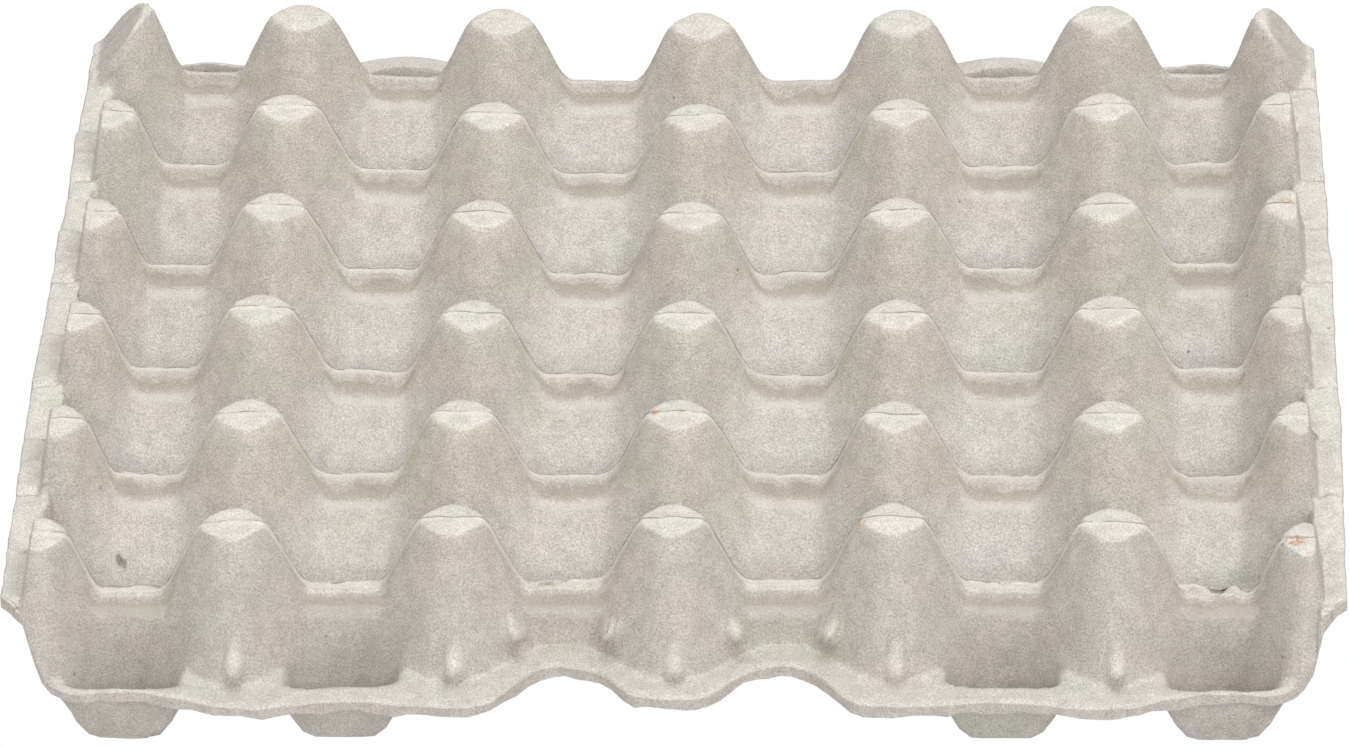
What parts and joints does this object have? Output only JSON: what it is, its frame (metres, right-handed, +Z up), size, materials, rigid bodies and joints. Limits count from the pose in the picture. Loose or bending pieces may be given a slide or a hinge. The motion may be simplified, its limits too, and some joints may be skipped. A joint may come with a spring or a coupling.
{
  "type": "pulp egg tray",
  "caption": "Moulded pulp egg tray: a thin square shell of hollow posts, saddles and cups inside a narrow rim, which holds eggs upright.",
  "frame": {"origin": "on the table under the middle of the tray", "axes": "X along the rows of six cells, Y along the rows of five cells, Z up"},
  "size_m": [0.295, 0.297, 0.043],
  "materials": {
    "pulp": "matte, fibrous, pale grey-beige moulded paper pulp"
  },
  "bodies": {
    "root": {"egg_tray": "pulp"}
  },
  "joints": []
}
